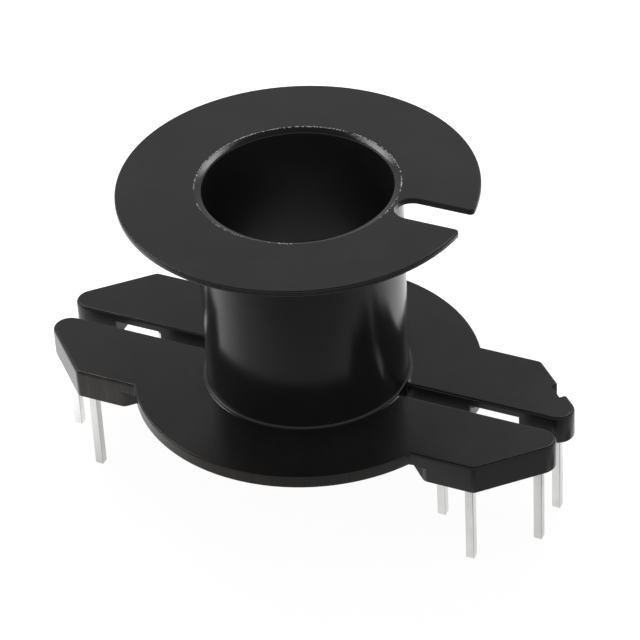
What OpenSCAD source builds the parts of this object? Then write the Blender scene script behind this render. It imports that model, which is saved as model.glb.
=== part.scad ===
// Coil former for a round-post transformer core: a barrel between two round flanges,
// with a split wing on each side that carries square pins for a circuit board.
// The pins stand on z = 0, the barrel's axis is Z and the wings lie along X.

/* [Barrel] */
// Diameter of the bore that takes the core's centre post
bore_d = 13; // [12:0.1:14]
// Wall thickness of the barrel
barrel_wall = 0.6; // [0.4:0.05:1.2]
// Distance between the two flanges
winding_w = 15; // [8:0.1:20]
// Width of the chamfer at each mouth of the bore
lip_w = 0.5; // [0.1:0.05:0.6]
// Depth of that chamfer
lip_depth = 0.15; // [0.05:0.05:0.35]
// Fillet between the barrel and each flange
root_fillet = 0.3; // [0.1:0.05:0.6]

/* [Flanges] */
// Diameter of the upper flange
upper_flange_d = 24.7; // [22:0.1:28]
// Thickness of the upper flange
upper_flange_t = 0.45; // [0.4:0.05:1.2]
// Diameter of the lower flange
lower_flange_d = 24.5; // [22:0.1:26]
// Thickness of the lower flange
lower_flange_t = 0.95; // [0.7:0.05:1.4]
// Rounding of the flanges' rims
rim_round = 0.12; // [0.05:0.01:0.18]

/* [Pins] */
// Pitch of the circuit board's hole grid, which is turned 45 degrees to the wings
board_pitch = 2.54; // [2.5:0.01:2.7]
// Side of a square pin
pin_w = 0.6; // [0.4:0.05:0.8]
// Length of a pin below its lobe
pin_out = 6.5; // [3:0.1:9]
// Play on each side of a pin in its pocket
pin_play = 0.01; // [0.005:0.005:0.03]

/* [Wings] */
// Width across both lobes of a wing
wing_w = 12.8; // [12.3:0.1:14]
// Thickness of a lobe
lobe_t = 2.15; // [1.8:0.05:3.5]
// Plastic left above the pin pockets and the wire channels
lobe_roof = 0.65; // [0.5:0.05:0.9]
// Plastic between a pin's middle and the lobe's edge
pin_margin = 1.18; // [0.9:0.01:1.3]
// Rounding of a lobe's outer corner, in plan
corner_round = 0.5; // [0.4:0.05:0.9]
// Rounding along a lobe's upper edges
edge_round = 0.2; // [0.1:0.05:0.35]
// Distance from the axis to a lobe's start, along the wing's side
lobe_start = 11.4; // [11:0.1:13]
// Distance from the bore's chamfer to a lobe's inner end, along the slot
lobe_gap = 0.05; // [0.02:0.01:1.5]
// Rounding of the lobe's upright corner at its start
start_round = 0.6; // [0.2:0.1:0.9]

/* [Wire ways] */
// Width of the wire slot in the upper flange
exit_slot_w = 2.36; // [1.2:0.02:3]
// Rounding of the slot's mouth at the rim
exit_mouth = 0.35; // [0.1:0.05:0.6]
// Plastic left between that slot and the barrel
slot_web = 0.05; // [0.02:0.01:0.3]
// Plastic left between each wing's slot and the barrel
wing_slot_web = 0.2; // [0.1:0.01:0.4]
// Length of the wire channel under each lobe
channel_w = 3.6; // [2:0.1:4]

/* [Index notch] */
// Width of the notch that marks one lobe
notch_w = 1.45; // [0.6:0.05:1.8]
// Depth of the notch
notch_depth = 0.55; // [0.2:0.05:0.6]
// Distance along the lobe's edge from the outer pin to the notch's middle
notch_place = 1.78; // [1.6:0.02:2.6]
// Rounding of the notch's mouth
notch_mouth = 0.2; // [0.1:0.05:0.3]

/* [Hidden] */
bore_r = bore_d / 2;
barrel_r = bore_r + barrel_wall;
upper_r = upper_flange_d / 2;
lower_r = lower_flange_d / 2;
deck_z = pin_out + lobe_t;
half_step = board_pitch / sqrt(2);
outer_pin = half_step * [10, 1];
corner_pin = half_step * [8, 3];
inner_pin = half_step * [6, 1];
slant = 45;
wing_half = wing_w / 2;
slot_half = outer_pin.y - pin_margin;
lobe_inner = max(bore_r + lip_w + lobe_gap, lobe_start - wing_half + outer_pin.y);
wing_root = bore_r + barrel_wall / 2;
slant_sum = outer_pin.x + outer_pin.y + pin_margin * sqrt(2);
corner_x = slant_sum - wing_half;
pin_in = lobe_t - lobe_roof;
overcut = 1;
slab = 0.01;
arc_steps = 4;
$fn = 96;

SIDES = [[1, 1], [1, -1], [-1, 1], [-1, -1]];
PIN_PLACES = [for (side = SIDES, pin = [outer_pin, corner_pin, inner_pin]) [side.x * pin.x, side.y * pin.y]];

// Points along an arc, from one angle to another
function arc(centre, radius, from, to, steps = arc_steps) = [
    for (i = [0 : steps])
        let (angle = from + (to - from) * i / steps)
        centre + radius * [cos(angle), sin(angle)]
];

// Section of the barrel and its flanges, with z = 0 on the lower flange's upper face
function spool_section() = let (
    bottom = -lower_flange_t,
    top = winding_w + upper_flange_t
) concat(
    [[bore_r, bottom + lip_depth], [bore_r + lip_w, bottom]],
    arc([lower_r - rim_round, bottom + rim_round], rim_round, -90, 0),
    arc([lower_r - rim_round, -rim_round], rim_round, 0, 90),
    arc([barrel_r + root_fillet, root_fillet], root_fillet, 270, 180),
    arc([barrel_r + root_fillet, winding_w - root_fillet], root_fillet, 180, 90),
    arc([upper_r - rim_round, winding_w + rim_round], rim_round, -90, 0),
    arc([upper_r - rim_round, top - rim_round], rim_round, 0, 90),
    [[bore_r + lip_w, top], [bore_r, top - lip_depth]]
);

// Outer edge of a lobe in plan, from the slot round its tip to the wing's side, drawn in by an inset
function lobe_edge(inset = 0) = let (
    corner = [corner_x - corner_round * tan(slant / 2), wing_half - corner_round]
) concat(
    arc(outer_pin, pin_margin - inset, -90, slant, 3 * arc_steps),
    arc(corner, corner_round - inset, slant, 90)
);

// A slot in plan that runs along X to an open mouth on the line x = 0
module open_slot(width, inner_end, mouth) {
    side = width / 2 + mouth;
    polygon(concat(
        inner_end,
        arc([-mouth, -side], mouth, 90, 0),
        [[overcut, -side], [overcut, side]],
        arc([-mouth, side], mouth, 0, -90)
    ));
}

// The barrel and its flanges, cut open where the wings' slots run in to the barrel
module spool() {
    inner = barrel_r + wing_slot_web;
    width = 2 * (slot_half + edge_round);
    difference() {
        rotate_extrude() polygon(spool_section());
        for (turn = [0, 180])
            rotate(turn)
                translate([inner, -width / 2, -lower_flange_t - overcut])
                    cube([lower_r, width, lower_flange_t + overcut + root_fillet]);
        exit_slot();
    }
}

// The slot that lets a wire out through the upper flange
module exit_slot() {
    rim_x = sqrt(pow(upper_r, 2) - pow(exit_slot_w / 2 + exit_mouth, 2));
    depth = rim_x - barrel_r - slot_web;
    round_end = arc([exit_slot_w / 2 - depth, 0], exit_slot_w / 2, 90, 270, 4 * arc_steps);
    translate([rim_x, 0, winding_w - root_fillet])
        linear_extrude(root_fillet + upper_flange_t + overcut)
            open_slot(exit_slot_w, round_end, exit_mouth);
}

// The thin upper part of a lobe, level with the lower flange and rounded along its upper edge
module lobe_deck() {
    hull() {
        translate([0, 0, -lower_flange_t])
            linear_extrude(slab) deck_outline();
        for (angle = [0 : 90 / arc_steps : 90])
            translate([0, 0, -edge_round * (1 - sin(angle)) - slab])
                linear_extrude(slab) deck_outline(edge_round * (1 - cos(angle)));
    }
}

module deck_outline(inset = 0) {
    polygon(concat(
        [[wing_root, slot_half + inset]],
        lobe_edge(inset),
        [[wing_root, wing_half - inset]]
    ));
}

// The thick lower part of a lobe, set back from the core at 45 degrees
module lobe_block() {
    start = [lobe_start + start_round * tan(slant / 2), wing_half - start_round];
    inner_y = wing_half - (lobe_start - lobe_inner);
    linear_extrude(lobe_t - lower_flange_t / 2)
        polygon(concat(
            lobe_edge(),
            arc(start, start_round, 90, 180 - slant),
            [[lobe_inner, inner_y], [lobe_inner, slot_half]]
        ));
}

// The square space under a lobe where a wire turns from the slot to its pin
module wire_channel() {
    low = [inner_pin.x + pin_margin, slot_half - overcut, -overcut];
    high = [inner_pin.x + pin_margin + channel_w, corner_pin.y - pin_margin, pin_in];
    translate(low) cube(high - low);
}

module lobe() {
    difference() {
        union() {
            translate([0, 0, lobe_t]) lobe_deck();
            lobe_block();
        }
        wire_channel();
    }
}

// The notch in one lobe's slanted edge
module index_notch() {
    flat_end = [[-notch_depth, notch_w / 2], [-notch_depth, -notch_w / 2]];
    translate([outer_pin.x, outer_pin.y, -overcut])
        rotate(slant)
            translate([pin_margin, notch_place, 0])
                linear_extrude(lobe_t + 2 * overcut)
                    open_slot(notch_w, flat_end, notch_mouth);
}

// A square bar that stands on z = 0
module square_bar(side, height) {
    translate([-side / 2, -side / 2, 0]) cube([side, side, height]);
}

module bobbin_body() {
    color([0.11, 0.11, 0.12])
        difference() {
            union() {
                translate([0, 0, deck_z]) spool();
                translate([0, 0, pin_out])
                    for (flip_x = [0, 1], flip_y = [0, 1])
                        mirror([flip_x, 0, 0]) mirror([0, flip_y, 0]) lobe();
            }
            translate([0, 0, pin_out]) {
                index_notch();
                for (place = PIN_PLACES)
                    translate([place.x, place.y, -overcut])
                        square_bar(pin_w + 2 * pin_play, overcut + pin_in);
            }
        }
}

module pin(place) {
    color([0.80, 0.80, 0.78])
        translate([place.x, place.y, 0])
            square_bar(pin_w, pin_out + pin_in);
}

bobbin_body();
for (i = [1 : len(PIN_PLACES)])
    pin(PIN_PLACES[i - 1]);
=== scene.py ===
# %% [markdown]
# A coil former, dressed for its portrait.
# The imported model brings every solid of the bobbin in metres, already in its place: one black moulding and
# twelve square pins. Their shapes are right, so they stay. What is left to do in Blender is what a solid
# can't say: soft edges, the ragged mouth of the bore, the skin of the plastic, the tin on the pins, and
# the light.

# %% Load the frame
import math
import random

import bmesh
import bpy
from mathutils import Matrix, Vector


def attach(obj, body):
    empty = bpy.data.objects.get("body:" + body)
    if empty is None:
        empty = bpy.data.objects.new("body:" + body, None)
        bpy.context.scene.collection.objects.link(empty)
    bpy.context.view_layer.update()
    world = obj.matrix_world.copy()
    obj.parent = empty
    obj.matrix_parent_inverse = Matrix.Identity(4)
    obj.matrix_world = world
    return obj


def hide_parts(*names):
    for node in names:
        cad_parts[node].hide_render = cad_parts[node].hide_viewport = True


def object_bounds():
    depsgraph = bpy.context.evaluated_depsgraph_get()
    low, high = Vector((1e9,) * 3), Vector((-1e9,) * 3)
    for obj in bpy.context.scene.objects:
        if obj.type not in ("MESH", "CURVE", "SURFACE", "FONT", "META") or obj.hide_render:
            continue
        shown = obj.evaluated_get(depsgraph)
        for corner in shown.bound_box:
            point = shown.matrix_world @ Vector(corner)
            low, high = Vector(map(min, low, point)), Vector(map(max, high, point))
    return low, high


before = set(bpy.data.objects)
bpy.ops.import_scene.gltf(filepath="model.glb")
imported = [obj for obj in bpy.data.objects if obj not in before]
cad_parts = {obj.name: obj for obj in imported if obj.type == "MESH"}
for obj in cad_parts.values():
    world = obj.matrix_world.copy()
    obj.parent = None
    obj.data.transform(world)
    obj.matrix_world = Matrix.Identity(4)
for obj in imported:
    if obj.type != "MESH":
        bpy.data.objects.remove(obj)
cad_low, cad_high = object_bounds()
MM = 0.001


def mm(*sizes):
    return tuple(size * MM for size in sizes)


def box_in_mm(low, high):
    return [round((b - a) / MM, 2) for a, b in zip(low, high)]


print("CAD box in mm:", box_in_mm(cad_low, cad_high))

# %% [markdown]
# The camera comes first, because every later choice is judged through it. The photograph was taken with a
# long lens from about 36 degrees above the bench, some 26 degrees round from a square view of the wings,
# and the camera leaned a few degrees. A wide lens close by would give the same size on the picture, but a
# long lens far away keeps the two flanges' ellipses nearly alike, as they are here.

# %% Place the camera
CAMERA_PLACE = Vector(mm(78.20, -158.18, 143.32))
# Turn in degrees, lens and sensor in mm
CAMERA_TURN = (53.43, 2.517, 24.113)
CAMERA_LENS = 178.07
SENSOR_WIDTH = 36.0
NEAREST, FARTHEST = 10 * MM, 10.0

camera_data = bpy.data.cameras.new("bench_camera")
camera_data.lens = CAMERA_LENS
camera_data.sensor_width = SENSOR_WIDTH
camera_data.clip_start = NEAREST
camera_data.clip_end = FARTHEST
camera = bpy.data.objects.new("bench_camera", camera_data)
camera.location = CAMERA_PLACE
camera.rotation_euler = [math.radians(angle) for angle in CAMERA_TURN]
bpy.context.scene.collection.objects.link(camera)
bpy.context.scene.camera = camera
bpy.context.scene.view_settings.view_transform = "Standard"
print("camera at mm:", [round(v / MM, 1) for v in camera.location])

# %% [markdown]
# A sharp edge of a CAD solid has no radius at all, and a moulding's edge always has one. A bevel modifier on
# the node would treat every edge alike, so each solid is copied into a skin of its own. The seams between
# its faces are closed, the flats lose their needless triangles, and a small bevel breaks every sharp edge.
# Chosen edges may have a width of their own. Weighted normals then keep the flats flat.

# %% Make a way to skin a solid
SEAM = 0.0005 * MM
FLAT_ANGLE = math.radians(0.3)
SHARP_ANGLE = math.radians(40)
ROUND_PROFILE = 0.5
OWN_SEGMENTS = 3
FLATS_FIRST = 80


def break_edges(work, edges, width_mm, segments):
    bmesh.ops.bevel(work, geom=edges, offset=width_mm * MM, offset_type="OFFSET", segments=segments,
                    profile=ROUND_PROFILE, affect="EDGES", clamp_overlap=False)


def close_seams(work):
    bmesh.ops.remove_doubles(work, verts=work.verts, dist=SEAM)


def piece_from(work, name):
    for face in work.faces:
        face.smooth = True
    mesh = bpy.data.meshes.new(name)
    work.to_mesh(mesh)
    work.free()
    piece = bpy.data.objects.new(name, mesh)
    bpy.context.scene.collection.objects.link(piece)
    return piece


def skin_of(node, edge_mm, segments, own_edges=()):
    work = bmesh.new()
    work.from_mesh(node.data)
    close_seams(work)
    bmesh.ops.dissolve_limit(work, angle_limit=FLAT_ANGLE, verts=work.verts, edges=work.edges)
    for is_own, own_mm in own_edges:
        break_edges(work, [e for e in work.edges if is_own(e)], own_mm, OWN_SEGMENTS)
    sharp = [e for e in work.edges if e.is_manifold and e.calc_face_angle() > SHARP_ANGLE]
    break_edges(work, sharp, edge_mm, segments)
    close_seams(work)
    skin = piece_from(work, node.name + "_skin")
    normals = skin.modifiers.new("keep_flats_flat", "WEIGHTED_NORMAL")
    normals.weight = FLATS_FIRST
    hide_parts(node.name)
    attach(skin, "root")
    print(skin.name, "has", len(skin.data.polygons), "faces")
    return skin


print("edges sharper than", round(math.degrees(SHARP_ANGLE)), "degrees are broken")

# %% [markdown]
# The body is one moulding: a barrel between two round flanges, with a split wing on each side. Its edges
# are crisp, as a polished steel mould leaves them. The chamfer at the mouth of the bore has two edges of its
# own. The outer one stays fine, because the rag of resin sits on it, and the inner one is well rounded where
# the core pin slid out. Both are found as rings of a known radius and height.

# %% Skin the moulded body
BORE_R = 6.5 * MM
CHAMFER_WIDTH = 0.5 * MM
CHAMFER_DEPTH = 0.15 * MM
MOUTH_R = BORE_R + CHAMFER_WIDTH
TOP = cad_high.z
THROAT = TOP - CHAMFER_DEPTH
RING_PLAY = 0.03 * MM


def on_ring(edge, radius, height):
    return all(abs(math.hypot(v.co.x, v.co.y) - radius) < RING_PLAY and abs(v.co.z - height) < SEAM
               for v in edge.verts)


def at_mouth(edge):
    return on_ring(edge, MOUTH_R, TOP)


def at_throat(edge):
    return on_ring(edge, BORE_R, THROAT)


# Widths of the bevels, in mm
BODY_EDGE = 0.05
MOUTH_EDGE = 0.03
THROAT_EDGE = 0.11
BODY_SEGMENTS = 2
body = skin_of(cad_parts["bobbin_body"], BODY_EDGE, BODY_SEGMENTS,
               ((at_mouth, MOUTH_EDGE), (at_throat, THROAT_EDGE)))

# %% [markdown]
# The pins are cut from square wire and pressed into the lobes. Drawn wire has soft corners, so a bevel of a
# tenth of the pin's width runs along all of its edges. The twelve pins are alike, and a loop skins them.

# %% Skin the pins
# Width of the bevel, in mm
PIN_EDGE = 0.06
PIN_SEGMENTS = 3
pins = []
for name in sorted(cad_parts):
    if name.startswith("pin_"):
        pins.append(skin_of(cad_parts[name], PIN_EDGE, PIN_SEGMENTS))
print("skinned", len(pins), "pins")

# %% [markdown]
# Where the mould's two halves met at the mouth of the bore, a little resin squeezed out and broke off, so
# the mouth's outer edge is ragged. A displaced edge would need a far finer mesh, so the rag is a piece of
# its own: small crumbs in clusters, some round and some drawn out along the edge, half sunk in the plastic.
# The near side of the mouth is cleaner, so most clusters are left out there. A seeded generator places
# them, and every run gives the same crumbs.

# %% Fray the mouth of the bore
FLASH_SEED = 11
CLUSTERS = 72
CRUMBS_IN_CLUSTER = (3, 8)
# Spread of a cluster along the mouth, in degrees
CLUSTER_SPREAD = 3.5
# From where on the mouth counts as near, as a cosine, and what is left there
NEAR_SIDE = 0.3
NEAR_SHARE = 0.25
ROUND_SHARE = 0.6
# Half sizes of the crumbs, in mm
ROUND_ACROSS, ROUND_UP = (0.032, 0.062), (0.025, 0.045)
LONG_ACROSS, LONG_ALONG, LONG_UP = 0.018, (0.08, 0.20), 0.016
# How far a crumb strays from the edge, in mm, and leans, in radians
CRUMB_STRAY = 0.015
CRUMB_LEAN = 0.5
flash_chance = random.Random(FLASH_SEED)
near_way = Vector((CAMERA_PLACE.x, CAMERA_PLACE.y)).normalized()


def round_crumb():
    across = [flash_chance.uniform(*ROUND_ACROSS) for axis in range(2)]
    return across + [flash_chance.uniform(*ROUND_UP)]


def long_crumb():
    return [LONG_ACROSS, flash_chance.uniform(*LONG_ALONG), LONG_UP]


def add_crumb(work, angle, half_sizes_mm, off_mm):
    size = Matrix.Diagonal([*mm(*half_sizes_mm), 1.0])
    out = Matrix.Translation((MOUTH_R + off_mm * MM, 0.0, TOP))
    lean = Matrix.Rotation(flash_chance.uniform(-CRUMB_LEAN, CRUMB_LEAN), 4, "X")
    bmesh.ops.create_icosphere(work, subdivisions=1, radius=1.0,
                               matrix=Matrix.Rotation(angle, 4, "Z") @ out @ lean @ size)


rag = bmesh.new()
for cluster in range(CLUSTERS):
    middle = flash_chance.uniform(0.0, math.tau)
    nearness = math.cos(middle) * near_way.x + math.sin(middle) * near_way.y
    if nearness > NEAR_SIDE and flash_chance.random() > NEAR_SHARE:
        continue
    for crumb in range(flash_chance.randint(*CRUMBS_IN_CLUSTER)):
        angle = middle + math.radians(flash_chance.gauss(0.0, CLUSTER_SPREAD))
        off = flash_chance.gauss(0.0, CRUMB_STRAY)
        half = round_crumb() if flash_chance.random() < ROUND_SHARE else long_crumb()
        add_crumb(rag, angle, half, off)
flash = piece_from(rag, "bore_flash")
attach(flash, "root")
print("bore flash has", len(flash.data.polygons), "faces")

# %% [markdown]
# Every finish below is painted by shader nodes and worked out from the place on the part, so it needs no
# picture and holds at any distance. Each node could be set in lines of its own, but the same few lines would
# come back all through the file. Helpers stand for them: add a node, feed a socket, stretch a range of
# values, and do a sum with a vector.

# %% Make helpers for shader nodes
def put(tree, kind, settings=None, inputs=None):
    node = tree.nodes.new(kind)
    for key, value in (settings or {}).items():
        setattr(node, key, value)
    for key, value in (inputs or {}).items():
        node.inputs[key].default_value = value
    return node


def feed(tree, socket, value):
    if isinstance(value, bpy.types.NodeSocket):
        tree.links.new(value, socket)
    else:
        socket.default_value = value


def spread(tree, value, ends, results=(0.0, 1.0), kind="LINEAR"):
    node = put(tree, "ShaderNodeMapRange", {"interpolation_type": kind}, {
        "From Min": ends[0], "From Max": ends[1], "To Min": results[0], "To Max": results[1]})
    tree.links.new(value, node.inputs["Value"])
    return node.outputs["Result"]


def vector_math(tree, operation, vector, second=None):
    node = put(tree, "ShaderNodeVectorMath", {"operation": operation})
    tree.links.new(vector, node.inputs[0])
    if second is not None:
        feed(tree, node.inputs[1], second)
    return node.outputs


print("shader helpers ready")

# %% [markdown]
# Two effects turn up in more than one finish, so each is a shader group with named sockets. The first is the
# skin of a casting, a fine grain and a slow cloudiness, and the plastic, its crumbs and the dipped tin all
# have it. The second is a set of long streaks, which is what drawing a wire or filling a mould leaves
# behind. It is noise that is squeezed across and stretched along the part's height.

# %% Build the shared groups
FLOAT, VECTOR = "NodeSocketFloat", "NodeSocketVector"
SKIN_NOISE = {"Detail": 3.0, "Roughness": 0.6}
STREAK_NOISE = {"Scale": 1.0, "Detail": 4.0, "Roughness": 0.55}
GRAIN_RANGE, CLOUD_RANGE, STREAK_RANGE = (0.25, 0.75), (0.35, 0.65), (0.3, 0.7)


def new_group(name, inputs, outputs):
    group = bpy.data.node_groups.new(name, "ShaderNodeTree")
    for label, kind in inputs:
        group.interface.new_socket(label, in_out="INPUT", socket_type=kind)
    for label, kind in outputs:
        group.interface.new_socket(label, in_out="OUTPUT", socket_type=kind)
    return group, put(group, "NodeGroupInput").outputs, put(group, "NodeGroupOutput").inputs


skin_group, skin_in, skin_out = new_group(
    "cast_skin",
    [("Place", VECTOR), ("Grain Scale", FLOAT), ("Cloud Scale", FLOAT)],
    [("Grain", FLOAT), ("Cloud", FLOAT)])
for label, noise_range in (("Grain", GRAIN_RANGE), ("Cloud", CLOUD_RANGE)):
    noise = put(skin_group, "ShaderNodeTexNoise", inputs=SKIN_NOISE)
    feed(skin_group, noise.inputs["Vector"], skin_in["Place"])
    feed(skin_group, noise.inputs["Scale"], skin_in[label + " Scale"])
    feed(skin_group, skin_out[label], spread(skin_group, noise.outputs["Fac"], noise_range))

streak_group, streak_in, streak_out = new_group(
    "long_streaks",
    [("Place", VECTOR), ("Across Scale", FLOAT), ("Along Scale", FLOAT)],
    [("Streak", FLOAT)])
stretch = put(streak_group, "ShaderNodeCombineXYZ")
for axis, label in (("X", "Across Scale"), ("Y", "Across Scale"), ("Z", "Along Scale")):
    feed(streak_group, stretch.inputs[axis], streak_in[label])
stretched = vector_math(streak_group, "MULTIPLY", streak_in["Place"], stretch.outputs["Vector"])
noise = put(streak_group, "ShaderNodeTexNoise", inputs=STREAK_NOISE)
feed(streak_group, noise.inputs["Vector"], stretched["Vector"])
feed(streak_group, streak_out["Streak"], spread(streak_group, noise.outputs["Fac"], STREAK_RANGE))
print("groups:", skin_group.name, streak_group.name)

# %% [markdown]
# Each finish is a material of its own on Blender's Principled shader. Its patterns could hang on the face's
# texture coordinates, but a CAD solid has none. They start from the place on the part instead, in metres, so
# that a grain keeps its real size. A shared group is placed in a finish with that finish's own scales.

# %% Make a way to start a finish
def new_material(name):
    material = bpy.data.materials.new(name)
    material.use_nodes = True
    tree = material.node_tree
    place = put(tree, "ShaderNodeTexCoord").outputs["Object"]
    return material, tree, tree.nodes["Principled BSDF"].inputs, place


def use_group(tree, group, place, values):
    node = put(tree, "ShaderNodeGroup", {"node_tree": group})
    for key, value in values.items():
        node.inputs[key].default_value = value
    feed(tree, node.inputs["Place"], place)
    return node.outputs


print("finishes start from the place on the part")

# %% [markdown]
# The moulding is black thermoset plastic, and it is never one flat black: its surfaces were shaped by
# different parts of the mould. Material slots could mark them face by face, but the shader can tell them
# apart by itself, at any mesh, from the radius, the height and the way that a face looks. Each border below
# is a pair of places: where a mask is 0, and where it is 1.

# %% Draw the borders on the moulding
BARREL_WALL = 0.6 * MM
ROOT_FILLET = 0.3 * MM
BARREL_FOOT = BORE_R + BARREL_WALL + ROOT_FILLET
# Height of the lower flange's upper face, and half a wing slot's width with its rounded edges
DECK = 8.65 * MM
SLOT_HALF = 0.82 * MM
# How far a face looks up or down, from a slope to a wall
UPRIGHT = (0.8, 0.4)
BARREL_BORDER = (BARREL_FOOT + 0.05 * MM, BARREL_FOOT - 0.05 * MM)
DECK_BORDER = (DECK - 0.05 * MM, DECK)
TOP_BORDER = (TOP - 0.06 * MM, TOP - 0.02 * MM)
MOUTH_BORDER = (MOUTH_R - 0.03 * MM, MOUTH_R + 0.03 * MM)
SLOT_BORDER = (SLOT_HALF + 0.10 * MM, SLOT_HALF + 0.02 * MM)
BORE_BORDER = (BORE_R + 0.06 * MM, BORE_R + 0.02 * MM)
THROAT_BORDER = (THROAT - 0.04 * MM, THROAT)
print("barrel's foot at a radius of", round(BARREL_FOOT / MM, 2), "mm, deck at", round(DECK / MM, 2), "mm")

# %% [markdown]
# A mask is 1 on one kind of surface and 0 elsewhere. Multiplied masks keep what all of them hold, and a mask
# taken from 1 keeps the rest. So the outer walls are what stands upright and isn't near the axis, and the
# chamfer is what was turned round the axis, lies above the throat and isn't in the bore.

# %% Tell the moulding's surfaces apart
def calculate(tree, operation, first, second=0.0):
    node = put(tree, "ShaderNodeMath", {"operation": operation})
    feed(tree, node.inputs[0], first)
    feed(tree, node.inputs[1], second)
    return node.outputs[0]


def product(tree, first, *others):
    for other in others:
        first = calculate(tree, "MULTIPLY", first, other)
    return first


def outside(tree, mask):
    return calculate(tree, "SUBTRACT", 1.0, mask)


def axes_of(tree, vector):
    node = put(tree, "ShaderNodeSeparateXYZ")
    tree.links.new(vector, node.inputs["Vector"])
    return node.outputs


LEVEL = (1.0, 1.0, 0.0)
plastic, tree, finish, place = new_material("black_moulding")
along = axes_of(tree, place)
beside = calculate(tree, "ABSOLUTE", along["Y"])
radius = vector_math(tree, "LENGTH", vector_math(tree, "MULTIPLY", place, LEVEL)["Vector"])["Value"]
facing = axes_of(tree, put(tree, "ShaderNodeNewGeometry").outputs["Normal"])
wall = spread(tree, calculate(tree, "ABSOLUTE", facing["Z"]), UPRIGHT)
near_axis = spread(tree, radius, BARREL_BORDER)
above_deck = spread(tree, along["Z"], DECK_BORDER)
on_top = product(tree, spread(tree, along["Z"], TOP_BORDER), spread(tree, radius, MOUTH_BORDER))
turned = product(tree, near_axis, above_deck, outside(tree, on_top))
outer_wall = product(tree, wall, outside(tree, near_axis))
in_slot = product(tree, wall, outside(tree, above_deck), spread(tree, beside, SLOT_BORDER))
in_bore = spread(tree, radius, BORE_BORDER)
chamfer = product(tree, spread(tree, along["Z"], THROAT_BORDER), turned, outside(tree, in_bore))
print("masks of the moulding:", len(tree.nodes), "nodes so far")

# %% [markdown]
# The black is a little cloudy. On the wings' sides, where the resin ran along the mould's wall, the filler
# left brown streaks, and they are stronger on the left wing, at negative X, than on the right. The walls of
# the wings' slots are narrow and see little light. Their depth alone left them too pale, so their colour is
# darkened with painted shade.

# %% Colour the plastic
def mix_colours(tree, factor, first, second):
    node = put(tree, "ShaderNodeMix", {"data_type": "RGBA"})
    tree.links.new(factor, node.inputs["Factor"])
    first_socket, second_socket = (s for s in node.inputs if s.type == "RGBA")
    for socket, colour in ((first_socket, first), (second_socket, second)):
        feed(tree, socket, (*colour, 1.0) if isinstance(colour, tuple) else colour)
    return next(s for s in node.outputs if s.type == "RGBA")


BLACK, PALER_BLACK = (0.0120, 0.0120, 0.0125), (0.0155, 0.0153, 0.0151)
FLOW_BROWN = (0.052, 0.038, 0.028)
# Painted shade: the slot walls' colour is darker to stand in for the light they lack.
SLOT_PAINTED_SHADE = (0.0045, 0.0045, 0.0045)
PLASTIC_SKIN = {"Grain Scale": 9000.0, "Cloud Scale": 260.0}
PLASTIC_FLOW = {"Across Scale": 3200.0, "Along Scale": 160.0}
WING_SIDE = mm(5.9, 6.3)
# From the right wing, at positive X, to the left wing, at negative X
BROWN_RAMP_X = mm(12, -12)
BROWN_AT_RIGHT, BROWN_AT_LEFT = 0.15, 1.0

skin = use_group(tree, skin_group, place, PLASTIC_SKIN)
flow = use_group(tree, streak_group, place, PLASTIC_FLOW)
toward_left = spread(tree, along["X"], BROWN_RAMP_X, (BROWN_AT_RIGHT, BROWN_AT_LEFT))
brown = product(tree, outer_wall, spread(tree, beside, WING_SIDE), flow["Streak"], toward_left)
black = mix_colours(tree, skin["Cloud"], BLACK, PALER_BLACK)
flowed = mix_colours(tree, brown, black, FLOW_BROWN)
# The slot walls get the painted shade here.
feed(tree, finish["Base Color"], mix_colours(tree, in_slot, flowed, SLOT_PAINTED_SHADE))
print("black moulding coloured:", len(tree.nodes), "nodes so far")

# %% [markdown]
# The flanges are satin. Their sides and the barrel came off smoother steel, and the chamfer shines most,
# though it is scratched by the core pin. The inside of the bore and of the slots is dull. One roughness is
# worked out for all of them: a satin start, less what was polished, more what was left dull. A fine bump of
# the same grain keeps the highlights from looking like glass.

# %% Polish the plastic
def total(tree, first, *others):
    for other in others:
        first = calculate(tree, "ADD", first, other)
    return first


def larger(tree, first, second):
    return calculate(tree, "MAXIMUM", first, second)


SATIN = (0.23, 0.27)
GRAIN_ROUGHNESS = (-0.02, 0.02)
SIDE_POLISH = 0.03
BARREL_POLISH = 0.06
CHAMFER_POLISH = 0.06
HIDDEN_DULLNESS = 0.14
CHAMFER_SCRATCHES = 4.0
PLASTIC_BUMP = {"Strength": 0.05, "Distance": 0.02 * MM}
WHOLE = (0.0, 1.0)

satin = spread(tree, skin["Cloud"], WHOLE, SATIN)
grainy = spread(tree, skin["Grain"], WHOLE, GRAIN_ROUGHNESS)
dull = product(tree, larger(tree, in_bore, in_slot), HIDDEN_DULLNESS)
polish = total(tree, product(tree, outer_wall, SIDE_POLISH), product(tree, turned, BARREL_POLISH),
               product(tree, chamfer, CHAMFER_POLISH))
feed(tree, finish["Roughness"], calculate(tree, "SUBTRACT", total(tree, satin, grainy, dull), polish))
scratched = total(tree, product(tree, chamfer, CHAMFER_SCRATCHES), 1.0)
bump = put(tree, "ShaderNodeBump", inputs=PLASTIC_BUMP)
feed(tree, bump.inputs["Height"], product(tree, skin["Grain"], scratched))
feed(tree, finish["Normal"], bump.outputs["Normal"])
body.data.materials.append(plastic)
print("black moulding:", len(tree.nodes), "nodes")

# %% [markdown]
# The crumbs are the same resin, but a broken edge scatters light and looks pale. Their greys are paler
# still, to stand in for the glints of the tiny crumbs: partly a painted highlight. One pale grey for all of
# them would look like paint. The grain of the casting group, set coarse, gives each crumb its own grey.

# %% Colour the crumbs
# Partly a painted highlight: the pale end stands in for the crumbs' glints.
CRUMB_GREY, CRUMB_PALE_AND_GLINT = (0.36, 0.36, 0.35), (0.95, 0.94, 0.92)
CRUMB_SKIN = {"Grain Scale": 5000.0, "Cloud Scale": 900.0}
CRUMB_ROUGHNESS = (0.35, 0.55)

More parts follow.
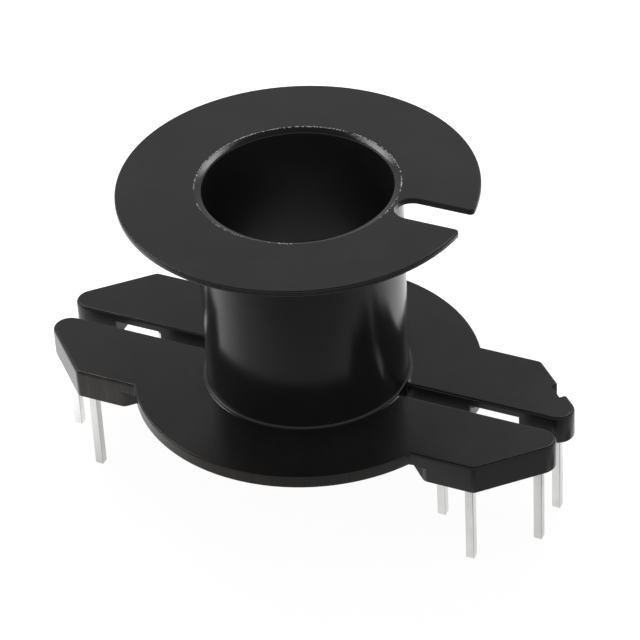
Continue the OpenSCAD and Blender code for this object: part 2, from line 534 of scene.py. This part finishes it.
frayed, tree, finish, place = new_material("frayed_resin")
skin = use_group(tree, skin_group, place, CRUMB_SKIN)
feed(tree, finish["Base Color"], mix_colours(tree, skin["Grain"], CRUMB_GREY, CRUMB_PALE_AND_GLINT))
feed(tree, finish["Roughness"], spread(tree, skin["Cloud"], WHOLE, CRUMB_ROUGHNESS))
flash.data.materials.append(frayed)
print("crumbs coloured on", flash.name)

# %% [markdown]
# The pins are square copper wire, tinned and cut to length. Drawing the wire leaves lines along it, and the
# tin varies a little from bright to grey. The corners are darker: a painted dark reflection of the shaded
# floor near the pins, which the corners mirror. They are found from the normal: on a flat side one of its
# parts is nearly 1, and on a corner none is.

# %% Tin the pins
# The corner colour is a painted dark reflection, not a colour of the tin.
TIN_BRIGHT, TIN_GREY, TIN_CORNER_SHADE = (0.90, 0.895, 0.88), (0.78, 0.77, 0.75), (0.46, 0.455, 0.44)
TIN_LINES = {"Across Scale": 9000.0, "Along Scale": 200.0}
TIN_SKIN = {"Grain Scale": 6000.0, "Cloud Scale": 700.0}
TIN_ROUGHNESS = (0.14, 0.22)
TIN_BUMP = {"Strength": 0.03, "Distance": 0.01 * MM}
CORNER_TURN = (0.95, 0.78)

tin, tree, finish, place = new_material("tinned_wire")
lines = use_group(tree, streak_group, place, TIN_LINES)
skin = use_group(tree, skin_group, place, TIN_SKIN)
normal = put(tree, "ShaderNodeNewGeometry").outputs["Normal"]
sides = axes_of(tree, vector_math(tree, "ABSOLUTE", normal)["Vector"])
squarest = larger(tree, larger(tree, sides["X"], sides["Y"]), sides["Z"])
corner = spread(tree, squarest, CORNER_TURN)
bright = mix_colours(tree, product(tree, lines["Streak"], skin["Cloud"]), TIN_BRIGHT, TIN_GREY)
# The corners get the painted dark reflection here.
feed(tree, finish["Base Color"], mix_colours(tree, corner, bright, TIN_CORNER_SHADE))
feed(tree, finish["Roughness"], spread(tree, skin["Cloud"], WHOLE, TIN_ROUGHNESS))
feed(tree, finish["Metallic"], 1.0)
bump = put(tree, "ShaderNodeBump", inputs=TIN_BUMP)
feed(tree, bump.inputs["Height"], lines["Streak"])
feed(tree, finish["Normal"], bump.outputs["Normal"])
for pin in pins:
    pin.data.materials.append(tin)
print("tinned", len(pins), "pins")

# %% [markdown]
# A black part shows little but what it reflects, so its light is placed by its highlights. Point lamps would
# leave dots, and a lit rectangle, as on a real softbox, leaves a soft patch. Two of them stand behind, one on
# the left and one on the right, and light the chamfer of the bore. The third is wide and low on the left, and
# draws thin lines along the rims and the wings' edges.

# %% Light the bench
def softbox(name, place_mm, aim_mm, size_mm, power):
    data = bpy.data.lights.new(name, "AREA")
    data.shape = "RECTANGLE"
    data.size, data.size_y = mm(*size_mm)
    data.energy = power
    lamp = bpy.data.objects.new(name, data)
    lamp.location = Vector(place_mm) * MM
    lamp.rotation_euler = (Vector(aim_mm) - Vector(place_mm)).to_track_quat("-Z", "Y").to_euler()
    bpy.context.scene.collection.objects.link(lamp)


softbox("left_box", place_mm=(-177, 119, 253), aim_mm=(0, 0, 20), size_mm=(78, 78), power=0.111)
softbox("back_box", place_mm=(11, 219, 248), aim_mm=(0, 0, 20), size_mm=(78, 78), power=0.111)
softbox("edge_box", place_mm=(-274, -61, 112), aim_mm=(0, 0, 15), size_mm=(190, 50), power=0.09)

# %% [markdown]
# The rest of the light is a plain pale room with a dark ceiling. An even world would give every face the same
# grey. Here the flanges mirror the top of the wall, and the chamfer's far side mirrors the dark above it.
# The room is worked out from how steeply a ray leaves, and what the camera sees of it directly is white.

# %% Build the room
WALL_TO_CEILING = (0.45, 0.85)
WALL_LIGHT, CEILING_LIGHT, FILL_LIGHT = 0.56, 0.07, 0.50
WHITE = (1.0, 1.0, 1.0, 1.0)


def seen_directly(tree, path):
    return larger(tree, path["Is Camera Ray"], path["Is Transmission Ray"])


world = bpy.data.worlds.new("pale_room")
world.use_nodes = True
bpy.context.scene.world = world
tree = world.node_tree
path = put(tree, "ShaderNodeLightPath").outputs
way = axes_of(tree, put(tree, "ShaderNodeTexCoord").outputs["Generated"])
room = spread(tree, way["Z"], WALL_TO_CEILING, (WALL_LIGHT, CEILING_LIGHT), "SMOOTHSTEP")
mirrored = product(tree, room, path["Is Glossy Ray"])
fill = product(tree, path["Is Diffuse Ray"], FILL_LIGHT)
background = tree.nodes["Background"].inputs
feed(tree, background["Color"], WHITE)
feed(tree, background["Strength"], larger(tree, larger(tree, mirrored, fill), seen_directly(tree, path)))
print("room:", len(tree.nodes), "nodes")

# %% [markdown]
# The floor is a wide pale sheet. What the part mirrors of it is not even: the sheet is lit from behind, so it
# grows lighter away from the camera. It is darker under the bore, lighter in a ring round the pins' feet,
# which the tin mirrors, and darker in a spot beside the right wing, which the barrel mirrors through the
# slot. To light and shade a floor like this would take many lamps, so the tones are painted on it.

# %% Shade the floor for what mirrors it
FLOOR_HALF = 1.5
# The way across the bench from the camera's side to the back
FLOOR_BACK = (-0.443, 0.896, 0.0)
NEAR_PLACES, NEAR_TONES = mm(-30, -12), (0.22, 0.50)
FAR_PLACES, FAR_TONES = mm(-12, 6), (0.0, 0.80)
BORE_RADII, BORE_TONES = mm(5, 9), (0.25, 1.0)
RING_OUTER, RING_INNER = mm(22, 13), mm(6, 10)
RING_PLACES, RING_TONES = mm(-12, 24), (0.58, 0.98)
WING_SPOT = mm(24.0, 3.2, 0.0)
SPOT_RADII, SPOT_TONES = mm(1.5, 4), (0.3, 1.0)

paper = bpy.data.materials.new("pale_paper")
paper.use_nodes = True
tree = paper.node_tree
place = put(tree, "ShaderNodeTexCoord").outputs["Object"]
depth = vector_math(tree, "DOT_PRODUCT", place, FLOOR_BACK)["Value"]
radius = vector_math(tree, "LENGTH", place)["Value"]
from_spot = vector_math(tree, "DISTANCE", place, WING_SPOT)["Value"]
near = spread(tree, depth, NEAR_PLACES, NEAR_TONES)
far = spread(tree, depth, FAR_PLACES, FAR_TONES)
falloff = product(tree, total(tree, near, far), spread(tree, radius, BORE_RADII, BORE_TONES))
ring = product(tree, spread(tree, radius, RING_OUTER, WHOLE, "SMOOTHSTEP"),
               spread(tree, radius, RING_INNER, WHOLE, "SMOOTHSTEP"))
ring_tone = spread(tree, axes_of(tree, place)["X"], RING_PLACES, RING_TONES)
lift = product(tree, ring, calculate(tree, "SUBTRACT", ring_tone, falloff))
painted = product(tree, total(tree, falloff, lift), spread(tree, from_spot, SPOT_RADII, SPOT_TONES))
print("floor tones:", len(tree.nodes), "nodes so far")

# %% [markdown]
# To the camera the same floor is mostly its own even white, mixed with what the lamps and the shadow do to
# it. So the background comes out white, and the shadow under the bobbin stays.

# %% Lay the floor
EVEN_LIGHT = 1.06
EVEN_SEEN, EVEN_MIRRORED = 0.90, 0.82

path = put(tree, "ShaderNodeLightPath").outputs
direct = seen_directly(tree, path)
tone = larger(tree, painted, direct)
matte = put(tree, "ShaderNodeBsdfDiffuse")
feed(tree, matte.inputs["Color"], tone)
even = put(tree, "ShaderNodeEmission", inputs={"Strength": EVEN_LIGHT})
feed(tree, even.inputs["Color"], tone)
blend = put(tree, "ShaderNodeMixShader")
feed(tree, blend.inputs["Fac"], total(tree, product(tree, direct, EVEN_SEEN),
                                      product(tree, path["Is Glossy Ray"], EVEN_MIRRORED)))
feed(tree, blend.inputs[1], matte.outputs["BSDF"])
feed(tree, blend.inputs[2], even.outputs["Emission"])
feed(tree, tree.nodes["Material Output"].inputs["Surface"], blend.outputs["Shader"])
tree.nodes.remove(tree.nodes["Principled BSDF"])

sheet = bmesh.new()
bmesh.ops.create_grid(sheet, x_segments=1, y_segments=1, size=FLOOR_HALF)
floor = piece_from(sheet, "pale_floor")
floor.data.materials.append(paper)
print("floor half width in m:", FLOOR_HALF)
